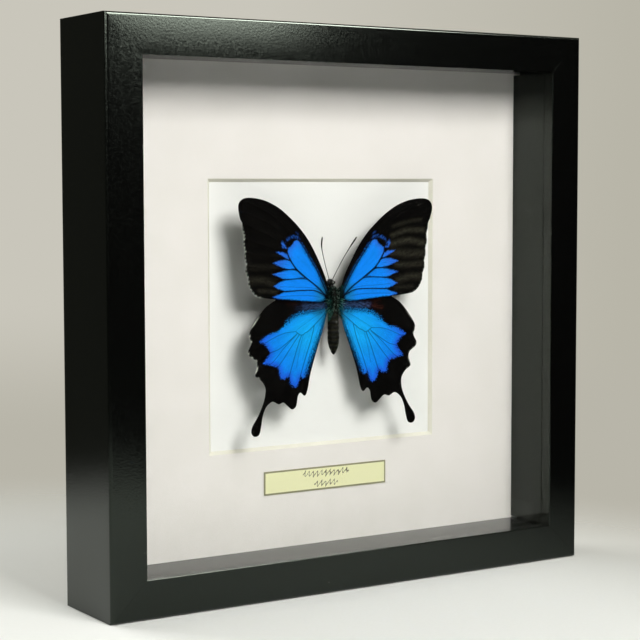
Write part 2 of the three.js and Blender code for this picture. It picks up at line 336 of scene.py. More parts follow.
def platedSteel(name, dark, pale, roughness, grainScale):
    # plated or polished steel: bright metal with faint drawn lines along its length
    material, add, shader = startMaterial(name, {"Metallic": 1, "Roughness": roughness})
    place = add("TexCoord").outputs["Object"]
    drawn = add("Mapping", {"Scale": grainScale}, {"Vector": place})
    lines = add("TexNoise", {"Scale": 1, "Detail": 4}, {"Vector": drawn})
    colour = add("Mix", {"data_type": "RGBA", 6: dark, 7: pale}, {0: lines})
    gloss = add("MapRange", {"To Min": roughness - 0.08, "To Max": roughness + 0.12},
                {"Value": lines})
    connect(shader, {"Base Color": colour, "Roughness": gloss})
    return material


foil = satinFoilWrap()
matPaper = uncoatedBoard("matBoardPaper", "#e7e2de", "#f0eae8", 0.3, 0.05)
matCore = uncoatedBoard("matBoardCore", "#e0dccf", "#ebe8dc", 0.25, 0.05)
cardPaper = uncoatedBoard("foamCardPaper", "#edecea", "#f3f2f1", 0.25, 0.03)
labelPaper = creamLabelPaper()
glassClear = clearPictureGlass()
# brown hardboard, smooth side out, with short random flecks
hardboard = pressedFibre(
    "pressedHardboard", "#73503a", "#8b6546", {"Roughness": 0.62},
    {"Scale": 900, "Detail": 6, "Distortion": 1.2}, {"Scale": 90, "Detail": 5},
    0.08, {"Strength": 0.3, "Distance": 0.05 * mm})
zinc = platedSteel("zincPlatedSteel", "#9da1a2", "#c2c6c6", 0.55, (900, 2500, 2500))
pinMetal = platedSteel("polishedPinSteel", "#9a9da0", "#c3c6c8", 0.25, (2500, 500, 2500))
print("materials of the frame made")


# the frame: one moulding, mitred, softened and turned to the four sides

rail = {
    "half": 125, "wall": 11.5, "face": 16.8, "lip": 6, "kerfDepth": 38.5, "kerfWidth": 0.8,
    "kerfReach": 2.5, "jointGap": 0.015, "softFront": 1.5, "softInner": 0.35, "softLip": 0.1,
    "softBack": 0.35, "softJoint": 0.05,
}


def addMoulding():
    half, end = rail["half"], rail["half"] - rail["jointGap"]
    lipY = frontY + rail["lip"]
    slotY = [frontY + rail["kerfDepth"], frontY + rail["kerfDepth"] + rail["kerfWidth"]]
    piece = addBlock("railBottom", Vector((-half, frontY, 0)) * mm,
                     Vector((half, -frontY, rail["wall"])) * mm)
    pick(piece, "FACE", lambda middle, normal: True)
    for y in [lipY] + slotY:
        bpy.ops.mesh.select_all(action="SELECT")
        bpy.ops.mesh.bisect(plane_co=(0, y * mm, 0), plane_no=(0, 1, 0))
    pick(piece, "FACE", lambda middle, normal: normal.z > 0.9 and middle.y < lipY)
    bpy.ops.mesh.extrude_region_move(
        TRANSFORM_OT_translate={"value": (0, 0, (rail["face"] - rail["wall"]) * mm)})
    pick(piece, "FACE", lambda middle, normal: normal.z > 0.9 and slotY[0] < middle.y < slotY[1])
    bpy.ops.mesh.extrude_region_move(
        TRANSFORM_OT_translate={"value": (0, 0, -rail["kerfReach"] * mm)})
    for side in (-1, 1):
        bpy.ops.mesh.select_all(action="SELECT")
        bpy.ops.mesh.bisect(plane_co=(side * end * mm, 0, 0), plane_no=(side, 0, 1),
                            use_fill=True, clear_outer=True)

    def onLine(ends, y, z):
        return all(abs(p.y - y) < 0.01 and abs(p.z - z) < 0.01 for p in ends)

    def onJoint(ends):
        return (all(abs(abs(p.x) + p.z - end) < 0.02 and p.y < frontY + 0.01 for p in ends)
                and abs(ends[0].z - ends[1].z) > 0.02)

    # the outer edge at the front is well rounded, the others hardly, and where the foil was cut
    # along each mitre it is only a hair wide
    for wanted, soft, segments in (
            (lambda ends: onLine(ends, frontY, 0), "softFront", 5),
            (lambda ends: onLine(ends, frontY, rail["face"]), "softInner", 3),
            (lambda ends: onLine(ends, lipY, rail["face"]), "softLip", 2),
            (lambda ends: onLine(ends, -frontY, 0) or onLine(ends, -frontY, rail["wall"]),
             "softBack", 3),
            (onJoint, "softJoint", 2)):
        pick(piece, "EDGE", wanted)
        bpy.ops.mesh.bevel(offset=rail[soft] * mm, segments=segments, affect="EDGES")
    leaveEdit()
    closeUp(piece)
    smoothFlats(piece, 32)
    return piece


frameMiddle = Vector((0, 0, rail["half"])) * mm
sides = (("Bottom", 0), ("Right", -1), ("Top", 2), ("Left", 1))  # and their quarter turns


def turnToSide(piece, quarters):
    move = Matrix.Translation(frameMiddle)
    turn = Matrix.Rotation(quarters * math.pi / 2, 4, "Y")
    piece.data.transform(move @ turn @ move.inverted())


bottomRail = addMoulding()
for side, quarters in sides[1:]:
    turned = copyOf(bottomRail, "rail" + side)
    turnToSide(turned, quarters)
    dress(turned, foil, "black_wrap", "rail_" + side.lower())
dress(bottomRail, foil, "black_wrap", "rail_bottom")
print("mouldings made")


# metal points, pressed from sheet and turned with the sides

point = {"tip": 4, "narrowed": 0.06, "soft": 0.12}


def addPoint():
    low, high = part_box("point_bottom_1")
    piece = addBlock("pointBottom1", low, high)
    tipZ = high.z / mm - point["tip"]
    pick(piece, "FACE", lambda middle, normal: True)
    bpy.ops.mesh.bisect(plane_co=(0, 0, tipZ * mm), plane_no=(0, 0, 1))
    pick(piece, "VERT", lambda place: place[0].z > tipZ + 1)
    bpy.ops.transform.resize(value=(point["narrowed"], 1, 1), center_override=(low + high) / 2)
    leaveEdit()
    softenEdges(piece, point["soft"])
    return piece


firstPoint = addPoint()
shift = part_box("point_bottom_2")[0].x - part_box("point_bottom_1")[0].x
for side, quarters in sides:
    for end in (1, 2):
        copy = copyOf(firstPoint, f"point{side}{end}")
        copy.data.transform(Matrix.Translation((shift * (end - 1), 0, 0)))
        turnToSide(copy, quarters)
        dress(copy, zinc, "zinc_plate", f"point_{side.lower()}_{end}")
bpy.data.objects.remove(firstPoint)


# glass, spacers, mat, label and boards

sheets = (
    ("glassPane", "glass", glassClear, "pane", 0.25),
    ("backBoard", "back_board", hardboard, "hardboard", 0.3),
    ("labelCard", "label", labelPaper, "label_paper", 0.08),
)
for name, node, material, slot, soft in sheets:
    sheet = addBlock(name, *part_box(node))
    softenEdges(sheet, soft)
    dress(sheet, material, slot, node)

# wrapped strips, set a little behind the lip so that their front ends don't show
spacer = {"setBack": 0.8, "soft": 0.12}
for side, axis, inward in (("bottom", 2, 1), ("top", 2, -1), ("left", 0, 1), ("right", 0, -1)):
    low, high = (Vector(corner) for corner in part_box("spacer_" + side))
    (high if inward > 0 else low)[axis] -= inward * spacer["setBack"] * mm
    strip = addBlock("spacer" + side.title(), low, high)
    softenEdges(strip, spacer["soft"])
    dress(strip, foil, "black_wrap", "spacer_" + side)
dress(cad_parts["backing_card"], cardPaper, "foam_card")

windowMat = {"half": 61, "x": -0.5, "z": 122.1, "bevel": 1.5, "soft": 0.06}


def addRing(name, centre, half, y):
    bpy.ops.mesh.primitive_plane_add(size=2 * half * mm, rotation=(math.pi / 2, 0, 0),
                                     location=(centre[0] * mm, y * mm, centre[1] * mm))
    ring = bpy.context.object
    ring.name = name
    settle(ring)
    pick(ring, "FACE", lambda middle, normal: True)
    bpy.ops.mesh.delete(type="ONLY_FACE")
    leaveEdit()
    return ring


def addMat():
    low, high = (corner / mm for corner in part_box("mat"))
    outer = ((low.x + high.x) / 2, (low.z + high.z) / 2)
    window = (windowMat["x"], windowMat["z"])
    reach, half = (high.x - low.x) / 2, windowMat["half"]
    rings = [
        addRing("windowMat", outer, reach, low.y), addRing("front", window, half, low.y),
        addRing("back", window, half - windowMat["bevel"], high.y),
        addRing("rim", outer, reach, high.y),
    ]
    places = [[v.co.copy() for v in ring.data.vertices] for ring in rings]
    piece = joinPieces("windowMat", rings)
    for first in range(len(rings)):
        wanted = places[first] + places[(first + 1) % len(rings)]
        pick(piece, "EDGE", lambda ends: any(
            all(any((p * mm - q).length < 1e-6 for q in group) for p in ends)
            for group in (wanted[:4], wanted[4:])))
        bpy.ops.mesh.bridge_edge_loops()
        leaveEdit()
    closeUp(piece)
    return piece


cutMat = addMat()
softenEdges(cutMat, windowMat["soft"])
dress(cutMat, matPaper, "mat_board", "mat")
cutMat.data.materials.append(matCore)
for face in cutMat.data.polygons:
    # the window's cut edge shows the board's cream core
    toWindow = Vector((windowMat["x"], 0, windowMat["z"])) - face.center / mm
    if face.normal.y < -0.3 and face.normal.dot(toWindow) > 20:
        face.material_index = 1
print("glass, spacers, mat, label and boards made")


# the hanger: a copy of the solid plate, made one skin, with broken edges
hanger = copyOf(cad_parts["hanger"], "sawtoothHanger")
for key in list(hanger.keys()):
    del hanger[key]
hanger.parent = None
closeUp(hanger)
pick(hanger, "FACE", lambda middle, normal: True)
bpy.ops.mesh.dissolve_limited(angle_limit=math.radians(2))
leaveEdit()
softenEdges(hanger, 0.15)
dress(hanger, zinc, "zinc_plate", "hanger")


# the butterfly. Wing places are in millimetres: outwards from the body, and up from the bases

specimen = {"x": -2, "z": 125, "depth": 22.8, "rise": 1.3, "foreThick": 0.5, "hindThick": 0.4,
            "overlapGap": 0.3, "lean": 0.075, "leaf": 0.16, "mesh": 0.34}

foreEdge = {
    "root": [3, 8],
    "costa": [[5.2, 14.4], [8.5, 21], [12.4, 27.7], [17.3, 34.1], [23.5, 40], [30.6, 45.2],
              [37.8, 48.4], [44.6, 49.7], [49.2, 49.5]],
    "apex": [[51.7, 47.8], [52.3, 45], [51.3, 40.6]],
    "margin": [[50.1, 36], [49.7, 30], [49.1, 24], [48.6, 18]],
    "tornus": [[47.4, 12.4], [45.6, 9], [42.6, 6.5], [38, 5.6]],
    "inner": [[25, 4], [14, 3.1], [6, 2.8], [3, 3.9]],
    "waves": 5, "swell": 0.25,
}
hindEdge = [
    [3.2, 0.2], [3.2, 3.2], [8, 7.4], [16, 9.4], [24, 8.8], [32, 4.2], [36.6, 1.4], [40.4, -2.6],
    [43.9, -7.4], [45, -10.4], [44, -13.9], [45.6, -17.4], [44.9, -19.4], [41.6, -21.8],
    [41, -24.4], [42, -28.2], [39.2, -30.4], [36.9, -33.6], [36.8, -37.2], [38, -41.4],
    [40.6, -46.4], [43.4, -50.4], [44.1, -53.3], [42.6, -55.2], [40.2, -54.6], [39, -51],
    [38.3, -47], [36.7, -43.1], [34.6, -41.1], [32.6, -40.5], [29.8, -41.8], [27.2, -41.3],
    [24.6, -43.3], [22.5, -44.7], [20.4, -43.2], [19.5, -38.9], [18, -37.5], [15.9, -39],
    [14.4, -36.8], [12.4, -28.4], [9.3, -19.3], [6.1, -10.8], [3.9, -3.6],
]
spread = {
    "forewing_left": {"across": 1, "swing": 0, "turn": 0},
    "forewing_right": {"across": 0.98, "swing": 0, "turn": 0.9},
    "hindwing_left": {"across": 1.03, "swing": 0, "turn": 0},
    "hindwing_right": {"across": 0.96, "swing": 0.0005, "turn": 0},
}

# blue patches: the cell, five fingers between the veins, and the broken scraps past the cell
foreBlue = [
    [[5.4, 8.2], [7.4, 12.4], [10.2, 17.4], [13.2, 21.8], [15.8, 25.2], [17.8, 28.3], [19.2, 30.1],
     [20.8, 30.9], [22.2, 30.6], [23.3, 29], [24.6, 28], [25.9, 27.4], [26.3, 25.6], [24.4, 22.2],
     [21.4, 18.3], [16.1, 14.2], [10, 10.1], [5.6, 6.3]],
    [[24.9, 22.3], [26.2, 24.6], [28.3, 25.7], [32.3, 25.9], [29.6, 24.3], [27.3, 23.1]],
    [[21.7, 18.4], [24.8, 21.8], [27.4, 22.3], [30, 22.1], [34, 21], [31.4, 19.8], [28, 18.6],
     [24.6, 18]],
    [[17, 14.2], [21.9, 17.7], [24.4, 17.8], [27.6, 17.5], [30.8, 16.8], [34.1, 16.1], [31.4, 15],
     [28.4, 13.9], [24, 13.6]],
    [[5.6, 5.9], [10, 9.8], [16.2, 13.9], [24, 13.6], [27.8, 13.2], [30.6, 12.4], [33.6, 10.8],
     [31.3, 9.5], [28, 8.5], [20, 8.5], [12, 8.3], [9, 7.3]],
    [[6, 5.5], [9, 7.2], [12, 8.2], [20, 8.4], [28, 8], [31, 6.9], [34.2, 6], [31, 5.1],
     [25, 4.6], [18, 3.9], [12, 3.3], [8, 3.1], [5.6, 4]],
]
foreScraps = [
    ([[18.9, 31.2], [20.4, 32.7], [22.8, 33.2], [25, 32.8], [26.8, 31.6], [27.4, 29.8],
      [26.2, 30.5], [24.6, 31.4], [22.6, 31.9], [20.6, 31.5]], 0.4),
    ([[26.5, 27.2], [27.4, 29], [29, 30.8], [29.6, 29.4], [28.5, 27.1]], 0.85),
    ([[19.6, 33.2], [20.6, 34.5], [21.8, 34.6], [21, 33.4]], 0.25),
]
foreSoft = ([[5.4, 8.2], [7.4, 12.4], [10.2, 17.4], [13.2, 21.8], [15.8, 25.2], [18, 28.6]], 1.1)
# veins: a path, and half its width
foreVeins = [
    ([[4.4, 5], [7, 7.4], [10, 9.9], [16, 14], [21.4, 18.1], [24.4, 21.8], [26, 24.8],
      [26.5, 27.4]], 0.32),
    ([[14.8, 13.2], [18, 13.6], [24, 13.6], [28.4, 13.4], [48, 14]], 0.2),
    ([[4.8, 5.2], [8, 6.9], [12, 8.2], [20, 8.4], [28, 8.2], [45.4, 8.8]], 0.22),
    ([[20.6, 17.3], [24, 17.9], [28, 18.2], [48.4, 20]], 0.2),
    ([[24.2, 21.6], [27.4, 22.7], [32, 23.4], [49, 26.2]], 0.2),
    ([[26.3, 26.4], [29, 26.4], [34, 27.4], [49.6, 32.4]], 0.2),
    ([[26.4, 27.4], [30, 30.4], [36, 33.2], [50.4, 38.8]], 0.2),
    ([[25.5, 29.6], [30, 34], [37, 39], [51.4, 44.6]], 0.2),
    ([[23.4, 31.4], [29, 38], [38, 44], [48.6, 48]], 0.2),
    ([[4.6, 7], [9, 15.5], [14, 23], [19.5, 30.5], [25.5, 36.9], [33, 42.6], [43, 47.4]], 0.25),
    ([[26.4, 27.4], [25, 29.2], [22.5, 31]], 0.25),
]
foreFolds = [
    ([[8, 5], [14, 5.9], [22, 6.2], [30, 6.1]], 0.14),
    ([[9, 8.6], [14, 9.5], [22, 10], [30, 10.5]], 0.12),
    ([[24, 15.6], [32, 15.8]], 0.08), ([[25, 20], [32, 20.8]], 0.08),
]
# matt hair patches between the veins: path, half width, strength on the left and the right; the
# patches are real, and their greater strength on the right wing is painted sheen where they catch
# the light
foreHairPatchesWithSheen = [
    ([[31, 36.9], [38, 38.8], [46, 40]], 1, 0.03, 0.55),
    ([[30.5, 32.6], [38, 35], [47.5, 35]], 1.25, 0.03, 0.95),
    ([[30.2, 28.8], [38.5, 30.4], [47.4, 29.2]], 1.5, 0.04, 1.1),
    ([[31, 25], [38.5, 24.2], [47.4, 24.4]], 1.9, 0.06, 0.95),
    ([[33, 19.4], [38, 19.2], [46.5, 19.6]], 1.5, 0.3, 0.85),
    ([[34, 12], [40, 13.6], [45.6, 13.6]], 1.7, 0.6, 0.9),
    ([[32.5, 8.1], [37, 8.8], [41.5, 9]], 1.1, 0.6, 0.5),
]

hindBlue = [
    [[3.6, -1.2], [8, -1.3], [14, -1.7], [18, -2], [21.6, -3.2], [25, -5.4], [28, -8],
     [30.6, -9.6], [33.8, -9.9], [36.6, -11.2], [39.7, -13.4], [37.4, -14.6], [35.8, -16],
     [34.5, -17.9], [34.5, -19.2], [36, -21], [37.9, -23.1], [34.4, -24.1], [31, -25],
     [29.7, -26], [29.3, -28], [28.8, -30.5], [26.4, -30.7], [24.4, -29.6], [23.8, -31],
     [23.3, -33.2], [22.3, -34.3], [20.6, -34.8], [19.5, -33.9], [18.8, -32], [18, -30],
     [17.2, -30.9], [16.2, -31], [15, -28.9], [13.5, -25], [11.4, -20], [9, -14.4], [6.6, -9.6],
     [4.4, -4.6]],
]
hindSoft = ([[15, -28.9], [13.5, -25], [11.4, -20], [9, -14.4], [6.6, -9.6], [4.4, -4.6],
             [3.6, -1.2], [8, -1.3], [14, -1.7], [18, -2], [21.6, -3.2], [25, -5.4]], 1)
hindVeins = [
    ([[3.8, -1.8], [7, -4.6], [10.5, -7.4], [13.8, -10], [15.4, -10.6], [16.8, -11.5],
      [18.2, -11.5], [19.3, -10.8], [20.6, -9.9]], 0.2),
    ([[20.6, -9.9], [26, -10.2], [31, -11.6], [37.4, -14.3], [44, -17]], 0.14),
    ([[19.8, -10.8], [25, -14.4], [30, -17.4], [34.5, -18.8], [41.4, -22.6]], 0.16),
    ([[20.2, -11.4], [26.4, -16.4], [32, -22], [35, -24], [41, -26]], 0.14),
    ([[18.9, -11.6], [22.9, -16.4], [27, -21.6], [30.2, -25.4], [36.6, -35]], 0.18),
    ([[17.6, -11.8], [20, -17.6], [23.2, -26.6], [24.4, -29.8], [29.6, -41.2]], 0.2),
    ([[10.5, -7.4], [12.4, -14], [15.4, -22], [18.2, -30], [22.3, -43.4]], 0.2),
    ([[4, -3], [7.4, -11], [11.6, -21.6], [14.8, -30], [16, -38]], 0.22),
    ([[4, -0.4], [12, -1.4], [22, -3.2], [31, -8.6], [42, -12]], 0.16),
]
hindFolds = [
    ([[16.6, -11.8], [18.4, -18], [20.2, -26]], 0.12),
    ([[4.2, -1], [9, -3.2], [15, -6.4], [20.6, -9.6]], 0.1),
    ([[7.4, -7], [10, -13.4], [14.4, -24.6]], 0.12),
    ([[12, -9], [14.6, -15], [17, -23]], 0.08),
]
# faded streaks at the front edge of the hind wing: path, half width, left and right strength
hindRust = [
    ([[17, 0.9], [22, 0.2], [26.5, -0.8]], 1, 0, 0.8),
    ([[16, 1.4], [20, 2.2], [25, 2.6]], 1.2, 0.15, 0.3),
]
hindHaze = [
    ([[5, 1], [10, 1], [15.6, 0.9]], 1.7, 0.75, 0.7),
    ([[11.6, 0.9], [15.4, 0.8], [19, 0.5]], 1.5, 0.2, 0.9),
]


def smoothLine(points, count):
    # an even run of places on the smooth curve through a few points
    points = np.array(points, float)
    last = len(points) - 1
    place = np.linspace(0, last, count + 1)
    start = place.astype(int)
    before, here, there, after = (points[np.clip(start + k, 0, last)] for k in (-1, 0, 1, 2))
    t = (place - start)[:, None]
    leave, arrive = (there - before) / 2, (after - here) / 2
    return ((2 * here - 2 * there + leave + arrive) * t ** 3
            + (3 * there - 3 * here - 2 * leave - arrive) * t ** 2 + leave * t + here)


def evenly(path, step):
    # the same path with its places a fixed step apart
    lengths = np.hypot(*np.diff(path, axis=0).T)
    travelled = np.concatenate([[0], np.cumsum(lengths)])
    wanted = np.linspace(0, travelled[-1], max(2, int(travelled[-1] / step)) + 1)
    return np.stack([np.interp(wanted, travelled, path[:, k]) for k in (0, 1)], 1)


def foreOutline():
    apex, tornus, waves = foreEdge["apex"], foreEdge["tornus"], foreEdge["waves"]
    front = smoothLine([foreEdge["root"]] + foreEdge["costa"] + apex, 240)
    edge = smoothLine([apex[2]] + foreEdge["margin"] + [tornus[0]], 24 * waves)
    edge[:, 0] -= foreEdge["swell"] * (1 - np.cos(np.pi * np.arange(len(edge)) / 12))
    back = smoothLine(tornus + foreEdge["inner"], 160)
    return evenly(np.vstack([front, edge[1:-1], back]), specimen["mesh"])


def hindOutline():
    return evenly(smoothLine(hindEdge + hindEdge[:1], 12 * len(hindEdge)), specimen["mesh"])[:-1]


def gapTo(places, path):
    # shortest distance from each place to a drawn line
    nearest = np.full(len(places), 1e9)
    for start, end in zip(path[:-1], path[1:]):
        along = end - start
        share = np.clip(((places - start) @ along) / max(along @ along, 1e-12), 0, 1)
        nearest = np.minimum(nearest, np.hypot(*(places - start - share[:, None] * along).T))
    return nearest


def depthIn(places, loop):
    # how far inside a closed line each place is; outside it is negative
    inside = np.zeros(len(places), bool)
    x, z = places.T
    for (x0, z0), (x1, z1) in zip(loop, np.roll(loop, -1, 0)):
        if z0 != z1:
            inside ^= ((z0 > z) != (z1 > z)) & (x < (x1 - x0) * (z - z0) / (z1 - z0) + x0)
    gap = gapTo(places, np.vstack([loop, loop[:1]]))
    return np.where(inside, gap, -gap)


def ease(values, low, high):
    share = np.clip((values - low) / (high - low), 0, 1)
    return share * share * (3 - 2 * share)


def nearestVein(places, veins):
    # distance to the nearest vein, counted in that vein's half widths
    best = np.full(len(places), 99.0)
    for path, half in veins:
        line = smoothLine(path, 6 * len(path))
        best = np.minimum(best, gapTo(places, line) / half)
    return best


def streaks(places, drawn, side):
    best = np.zeros(len(places))
    for path, half, left, right in drawn:
        line = smoothLine(path, 6 * len(path))
        near = np.exp(-1.2 * (gapTo(places, line) / half) ** 2)
        best = np.maximum(best, near * (left if side < 0 else right))
    return best


def wingMarks(places, kind, side, outline):
    # what the scales' colours follow, one number a corner
    fore = kind == "forewing"
    patches = foreBlue if fore else hindBlue
    softPath, softness = foreSoft if fore else hindSoft
    fromBase = np.hypot(places[:, 0] - 2.5, places[:, 1] - (6 if fore else -0.5))
    blue = np.full(len(places), -99.0)
    for patch in patches:
        blue = np.maximum(blue, depthIn(places, np.array(patch)))
    soft = 0.32 + softness * np.exp(-(gapTo(places, np.array(softPath)) / 1.5) ** 2)
    soft += 0.5 * (1 - ease(fromBase, 5, 11))
    scraps = np.zeros(len(places))
    if fore:
        for patch, strength in foreScraps:
            near = ease(depthIn(places, np.array(patch)), -0.4, 0.5)
            scraps = np.maximum(scraps, strength * near)
    rim = gapTo(places, np.vstack([outline, outline[:1]]))
    travelled = fromBase * 1.1 + places[:, 1] * 1.3
    # pale fringe scales stand in short runs on the outer edge, mostly on the left
    if fore:
        outer = ease(fromBase, 36, 40) * ease(-places[:, 1], -38, -34)
    else:
        outer = ease(fromBase, 34, 38) * ease(places[:, 1], -32, -28)
    fleck = ease(-rim, -0.62, -0.2) * ease(np.sin(travelled * 1.9), 0.1, 0.7) * outer
    reddened = np.zeros(len(places)) if fore else streaks(places, hindRust, side)
    hazy = np.zeros(len(places)) if fore else streaks(places, hindHaze, side)
    tip = ease(fromBase, 24, 33) if fore else ease(fromBase, 26, 38)
    return {
        "blue": blue / soft, "scraps": scraps, "tip": tip * ease(-blue, -3.5, -0.5),
        "vein": nearestVein(places, foreVeins if fore else hindVeins),
        "fold": nearestVein(places, foreFolds if fore else hindFolds),
        # real hair patches, made stronger on the right wing as painted sheen
        "hair": streaks(places, foreHairPatchesWithSheen, side) if fore else np.zeros(len(places)),
        "rust": reddened, "haze": hazy, "base": 1 - ease(fromBase, 4.5, 11),
        "middle": np.exp(-(np.hypot(places[:, 0] - 14, places[:, 1] + 11) / 12) ** 2)
        if not fore else np.full(len(places), 0.12),
        "fleck": fleck * (1 if side < 0 else 0.3),
    }


def wingPlace(places, back, kind, side):
    # from wing millimetres and a depth behind the wing's front to the frame's millimetres
    fit = spread[f"{kind}_{'left' if side < 0 else 'right'}"]
    x = side * places[:, 0] * (fit["across"] - fit["swing"] * places[:, 1])
    z = places[:, 1]
    turn = side * math.radians(fit["turn"])
    x, z = x * math.cos(turn) + z * math.sin(turn), -x * math.sin(turn) + z * math.cos(turn)
    lean = -side * math.atan(specimen["lean"])
    x, y = x * math.cos(lean) - back * math.sin(lean), x * math.sin(lean) + back * math.cos(lean)
    front = (specimen["rise"] + specimen["foreThick"] if kind == "forewing"
             else specimen["rise"] - specimen["overlapGap"])
    return np.stack([x + specimen["x"], y + frontY + specimen["depth"] - front,
                     z + specimen["z"]], 1)


def addWing(kind, side, material):
    fore = kind == "forewing"
    outline = foreOutline() if fore else hindOutline()
    step = specimen["mesh"]
    low, high = outline.min(0), outline.max(0)
    rows = np.arange(low[1], high[1], step * 0.87)
    field = np.array([(x + (row % 2) * step / 2, z) for row, z in enumerate(rows)
                      for x in np.arange(low[0], high[0], step)])
    field += chance.normal(0, step * 0.06, field.shape)
    veins = foreVeins if fore else hindVeins
    ribs = np.vstack([evenly(smoothLine(path, 40), step) for path, half in veins])
    field = field[nearestVein(field, [(path, 1) for path, half in veins]) > step * 0.55]
    field = np.vstack([field, ribs])
    field = field[depthIn(field, outline) > step * 0.6]
    flat = np.vstack([outline, field])
    ring = [(k, (k + 1) % len(outline)) for k in range(len(outline))]
    corners, _, faces, *_ = delaunay_2d_cdt([Vector(p) for p in flat], ring, [], 1, 1e-6)
    places = np.array([tuple(c) for c in corners])
    marks = wingMarks(places, kind, side, outline)
    # veins stand up as thin ribs and the leaf sags a little between them
    gap = nearestVein(places, [(path, 1) for path, half in veins])
    relief = -0.1 * np.exp(-(gap / 0.28) ** 2) + 0.12 * (1 - np.exp(-(gap / 1.4) ** 2))
    relief += 0.04 * np.sin(places[:, 0] * 0.55 + places[:, 1] * 0.3)
    half = (specimen["foreThick"] if fore else specimen["hindThick"]) / 2
    layers = [wingPlace(places, half + relief + sign * specimen["leaf"] / 2, kind, side)
              for sign in (-1, 1)]
    count = len(places)
    uses = {}
    for face in faces:
        for a, b in zip(face, face[1:] + face[:1]):
            uses.setdefault(frozenset((a, b)), []).append((a, b))
    solid = [list(f) for f in faces] + [[v + count for v in reversed(f)] for f in faces]
    solid += [[e[0][1], e[0][0], e[0][0] + count, e[0][1] + count]
              for e in uses.values() if len(e) == 1]
    sideName = "Left" if side < 0 else "Right"
    piece = addShape(kind + sideName, np.vstack(layers), solid)
    # a place on the wing as radius and angle from its base, for grain that fans out
    arm = places - np.array([0, 6 if fore else 2])
    fan = np.stack([np.hypot(*arm.T), 40 * np.arctan2(arm[:, 1], arm[:, 0]),
                    np.full(count, 7.0 * side)], 1)
    for name, values in marks.items():
        addMark(piece, name, np.tile(values, 2))
    addMark(piece, "under", np.repeat([0, 1], count))
    addMark(piece, "fan", np.tile(fan, (2, 1)), "FLOAT_VECTOR")
    pick(piece, "FACE", lambda middle, normal: True)
    bpy.ops.mesh.normals_make_consistent(inside=False)
    leaveEdit()
    bpy.ops.object.shade_smooth_by_angle(angle=math.radians(50))
    dress(piece, material, "wing_scales", f"{kind}_{sideName.lower()}")
    return piece


